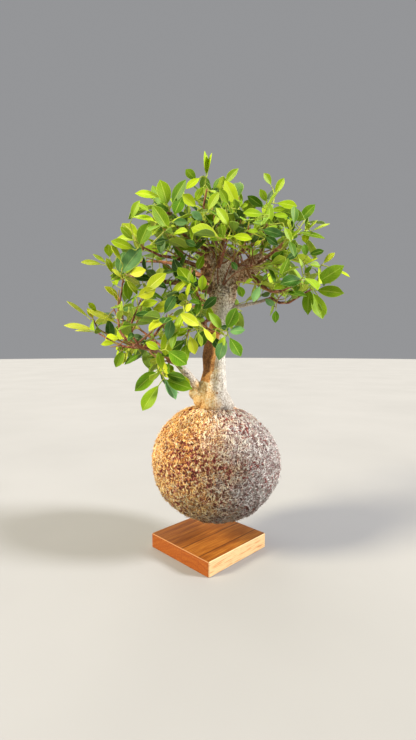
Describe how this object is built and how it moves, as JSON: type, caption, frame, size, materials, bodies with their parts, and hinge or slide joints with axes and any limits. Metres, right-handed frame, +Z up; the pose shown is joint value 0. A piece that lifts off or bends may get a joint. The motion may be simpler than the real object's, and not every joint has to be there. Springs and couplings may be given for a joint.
{
  "type": "kokedama moss ball plant",
  "caption": "Small bonsai fig growing in a ball of dried moss fibre that floats above a square wooden magnetic base, with leafy sprays on a forked grooved trunk.",
  "frame": {"origin": "the middle of the base's flat underside", "axes": "+Z up along the trunk; -Y is the front, where one corner of the base points and the lowest main limb leaves to the left; +X is to the right"},
  "size_m": [0.3449, 0.2468, 0.4772],
  "materials": {
    "base_wood": "satin",
    "circuit_board": "satin",
    "magnet": "satin",
    "copper": "satin",
    "inlet_plastic": "satin",
    "moss_fibre": "matte",
    "soil": "matte",
    "bark": "matte",
    "leaf_fresh": "satin",
    "leaf_green": "satin",
    "leaf_deep": "satin",
    "leaf_yellow": "satin"
  },
  "bodies": {
    "root": {"base_housing": "base_wood", "base_cover": "base_wood", "circuit_board": "circuit_board", "ring_magnet": "magnet", "coil_1": "copper", "coil_2": "copper", "coil_3": "copper", "coil_4": "copper", "power_inlet": "inlet_plastic", "moss_cover": "moss_fibre", "soil_core": "soil", "lift_magnet": "magnet", "trunk_and_branches": "bark", "spray_top_spire": "leaf_fresh", "spray_left_high": "leaf_fresh", "spray_left_upper": "leaf_fresh", "spray_left_mid": "leaf_fresh", "spray_left_dark": "leaf_deep", "spray_left_side": "leaf_fresh", "spray_left_round": "leaf_green", "spray_front_yellow": "leaf_yellow", "spray_front_up": "leaf_green", "spray_high_left": "leaf_fresh", "spray_high_big": "leaf_fresh", "spray_high_front": "leaf_fresh", "spray_front_high": "leaf_green", "spray_right_top": "leaf_green", "spray_right_front_high": "leaf_green", "spray_right_out": "leaf_green", "spray_right_mid": "leaf_deep", "spray_right_tip": "leaf_fresh", "spray_right_dark": "leaf_deep", "spray_right_centre": "leaf_deep", "spray_right_inner": "leaf_green", "spray_centre_high": "leaf_green", "spray_centre": "leaf_deep", "spray_right_hang": "leaf_green", "spray_right_under": "leaf_green", "spray_front_fan": "leaf_green", "spray_front_left": "leaf_yellow", "spray_yellow_left": "leaf_yellow", "spray_yellow_hang": "leaf_yellow", "spray_low_dark": "leaf_deep", "spray_low_hang": "leaf_green", "spray_low_left_mid": "leaf_green", "spray_far_left": "leaf_fresh", "spray_inner_left": "leaf_green", "spray_inner_dark": "leaf_deep", "spray_back_low_left": "leaf_green", "spray_back_side_left": "leaf_green", "spray_back_left": "leaf_green", "spray_back_left_high": "leaf_fresh", "spray_back_left_side": "leaf_green", "spray_back_right": "leaf_green", "spray_back_right_high": "leaf_fresh", "spray_back_right_low": "leaf_green", "spray_back_top": "leaf_fresh", "spray_back_middle": "leaf_green", "spray_back_under": "leaf_green", "spray_back_under_right": "leaf_green"}
  },
  "joints": []
}
